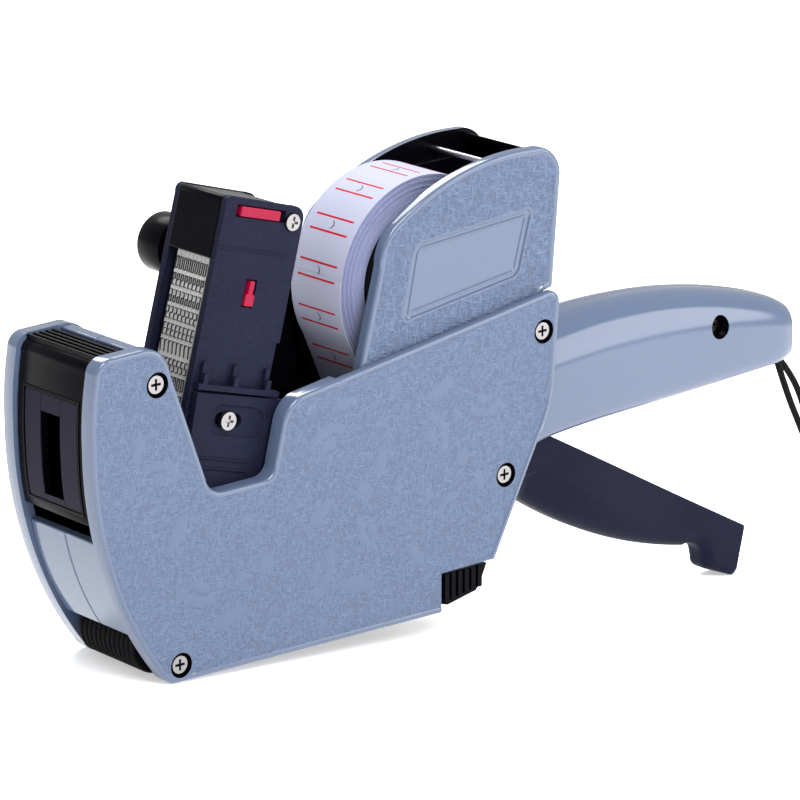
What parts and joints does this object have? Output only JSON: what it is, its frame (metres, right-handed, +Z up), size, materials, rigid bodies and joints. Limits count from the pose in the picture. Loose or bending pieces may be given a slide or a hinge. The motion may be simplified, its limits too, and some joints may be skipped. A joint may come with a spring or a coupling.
{
  "type": "price labeling gun",
  "caption": "Hand-held price labeling gun: sprung trigger lever, tilting print head with figure bands, label roll magazine, applicator roller and wrist strap.",
  "frame": {"origin": "on the counter, under the middle of the bounding box of the gun without its wrist strap, standing on its nose and trigger foot", "axes": "+Z up; +X from the nose to the handle; +Y to the side with the setting knob"},
  "size_m": [0.3394, 0.0517, 0.1321],
  "materials": {
    "blue_plastic": "moulded blue-grey plastic, fine linen texture on the sides",
    "black_gloss": "smooth moulded black plastic",
    "head_plastic": "matte blue-black plastic, fine spark texture",
    "trigger_plastic": "satin blue-black plastic",
    "red_plastic": "bright red moulded plastic",
    "band_rubber": "off-white rubber with raised dark figures",
    "roller_rubber": "ridged black rubber",
    "ink_felt": "ink-soaked foam",
    "label_paper": "white labels with red rules",
    "core_board": "wound card",
    "steel": "zinc-plated steel",
    "screw_nickel": "nickel-plated screw",
    "cord_black": "braided black cord"
  },
  "bodies": {
    "frame": {"shell_left": "blue_plastic", "shell_right": "blue_plastic", "case_screws": "screw_nickel", "spacer_posts": "steel", "label_platen": "head_plastic", "roller_axles": "steel", "hinge_pins": "steel", "return_spring": "steel", "roll_cheek_left": "black_gloss", "roll_cheek_right": "black_gloss", "roll_spindle": "black_gloss", "label_strip": "label_paper", "strap_pin": "steel", "wrist_strap": "cord_black"},
    "applicator": {"applicator_roller": "roller_rubber"},
    "feed": {"feed_drum": "head_plastic"},
    "roll": {"label_roll": "label_paper", "roll_core": "core_board"},
    "bottom": {"bottom_cover": "black_gloss"},
    "latch_l": {"latch_left": "black_gloss"},
    "latch_r": {"latch_right": "black_gloss"},
    "lever": {"trigger_lever": "trigger_plastic", "lever_arm_left": "head_plastic", "lever_arm_right": "head_plastic", "lever_pin": "steel", "head_plate_left": "head_plastic", "head_plate_right": "head_plastic", "head_cap": "black_gloss", "head_block": "head_plastic", "head_screws": "screw_nickel", "type_anvil": "head_plastic", "digit_band_1": "band_rubber", "digit_band_2": "band_rubber", "digit_band_3": "band_rubber", "digit_band_4": "band_rubber", "digit_band_5": "band_rubber", "digit_band_6": "band_rubber", "digit_band_7": "band_rubber", "digit_band_8": "band_rubber"},
    "lock": {"lock_bar": "red_plastic"},
    "key": {"red_key": "red_plastic"},
    "selector": {"selector_sleeve": "red_plastic"},
    "knob": {"setting_knob": "black_gloss", "setting_shaft": "steel"},
    "ink": {"ink_arm": "head_plastic", "ink_axle": "steel"},
    "ink_wheel": {"ink_roller": "ink_felt"},
    "flap": {"ink_cover": "black_gloss"},
    "cover": {"cover_side_left": "blue_plastic", "cover_side_right": "blue_plastic", "cover_spine": "black_gloss", "cover_rods": "steel"},
    "wheel_1": {"setting_wheel_1": "head_plastic"},
    "wheel_2": {"setting_wheel_2": "head_plastic"},
    "wheel_3": {"setting_wheel_3": "head_plastic"},
    "wheel_4": {"setting_wheel_4": "head_plastic"},
    "wheel_5": {"setting_wheel_5": "head_plastic"},
    "wheel_6": {"setting_wheel_6": "head_plastic"},
    "wheel_7": {"setting_wheel_7": "head_plastic"},
    "wheel_8": {"setting_wheel_8": "head_plastic"}
  },
  "joints": [
    {"name": "lever_squeeze", "type": "hinge", "parent": "frame", "child": "lever", "pos_m": [0.01086, -0.002, 0.04386], "axis": [0, -1, 0], "range_deg": [0, 15], "stiffness_Nm_per_rad": 1.2, "springref_deg": -20.05},
    {"name": "ink_swing", "type": "hinge", "parent": "frame", "child": "ink", "pos_m": [-0.10772, -0.002, 0.07912], "axis": [0, 1, 0], "range_deg": [0, 18]},
    {"name": "ink_spin", "type": "hinge", "parent": "ink", "child": "ink_wheel", "pos_m": [-0.09264, -0.002, 0.02905], "axis": [0, 1, 0], "continuous": true},
    {"name": "flap_open", "type": "hinge", "parent": "frame", "child": "flap", "pos_m": [-0.11587, -0.002, 0.08492], "axis": [0, 1, 0], "range_deg": [0, 55]},
    {"name": "cover_open", "type": "hinge", "parent": "frame", "child": "cover", "pos_m": [0.01816, -0.002, 0.08948], "axis": [0, 1, 0], "range_deg": [0, 60]},
    {"name": "bottom_open", "type": "hinge", "parent": "frame", "child": "bottom", "pos_m": [-0.0949, -0.002, 0.00476], "axis": [0, 1, 0], "range_deg": [0, 50]},
    {"name": "latch_left_press", "type": "slide", "parent": "bottom", "child": "latch_l", "axis": [0, 1, 0], "range_m": [0, 0.0018], "stiffness_N_per_m": 900, "springref_m": -0.001},
    {"name": "latch_right_press", "type": "slide", "parent": "bottom", "child": "latch_r", "axis": [0, -1, 0], "range_m": [0, 0.0018], "stiffness_N_per_m": 900, "springref_m": -0.001},
    {"name": "applicator_spin", "type": "hinge", "parent": "frame", "child": "applicator", "pos_m": [-0.09707, -0.002, 0.00888], "axis": [0, 1, 0], "continuous": true},
    {"name": "roll_spin", "type": "hinge", "parent": "frame", "child": "roll", "pos_m": [-0.01499, -0.002, 0.09758], "axis": [0, 1, 0], "continuous": true},
    {"name": "feed_spin", "type": "hinge", "parent": "frame", "child": "feed", "pos_m": [-0.01561, -0.002, 0.02314], "axis": [0, 1, 0], "continuous": true},
    {"name": "lock_slide", "type": "slide", "parent": "lever", "child": "lock", "axis": [0.985, 0, -0.1724], "range_m": [0, 0.0016]},
    {"name": "key_press", "type": "slide", "parent": "lever", "child": "key", "axis": [0, 1, 0], "range_m": [0, 0.0012], "stiffness_N_per_m": 300, "springref_m": -0.001},
    {"name": "selector_pull", "type": "slide", "parent": "lever", "child": "selector", "axis": [0, 1, 0], "range_m": [0, 0.01176]},
    {"name": "knob_turn", "type": "hinge", "parent": "selector", "child": "knob", "pos_m": [-0.0766, -0.002, 0.10559], "axis": [0, 1, 0], "continuous": true},
    {"name": "wheel_1_turn", "type": "hinge", "parent": "lever", "child": "wheel_1", "pos_m": [-0.0766, -0.002, 0.10559], "axis": [0, 1, 0], "continuous": true},
    {"name": "wheel_2_turn", "type": "hinge", "parent": "lever", "child": "wheel_2", "pos_m": [-0.0766, -0.002, 0.10559], "axis": [0, 1, 0], "continuous": true},
    {"name": "wheel_3_turn", "type": "hinge", "parent": "lever", "child": "wheel_3", "pos_m": [-0.0766, -0.002, 0.10559], "axis": [0, 1, 0], "continuous": true},
    {"name": "wheel_4_turn", "type": "hinge", "parent": "lever", "child": "wheel_4", "pos_m": [-0.0766, -0.002, 0.10559], "axis": [0, 1, 0], "continuous": true},
    {"name": "wheel_5_turn", "type": "hinge", "parent": "lever", "child": "wheel_5", "pos_m": [-0.0766, -0.002, 0.10559], "axis": [0, 1, 0], "continuous": true},
    {"name": "wheel_6_turn", "type": "hinge", "parent": "lever", "child": "wheel_6", "pos_m": [-0.0766, -0.002, 0.10559], "axis": [0, 1, 0], "continuous": true},
    {"name": "wheel_7_turn", "type": "hinge", "parent": "lever", "child": "wheel_7", "pos_m": [-0.0766, -0.002, 0.10559], "axis": [0, 1, 0], "continuous": true},
    {"name": "wheel_8_turn", "type": "hinge", "parent": "lever", "child": "wheel_8", "pos_m": [-0.0766, -0.002, 0.10559], "axis": [0, 1, 0], "continuous": true}
  ],
  "couplings": [
    {"joint": "ink_swing", "follows": "lever_squeeze", "ratio": 1.1},
    {"joint": "feed_spin", "follows": "roll_spin", "ratio": -4}
  ]
}
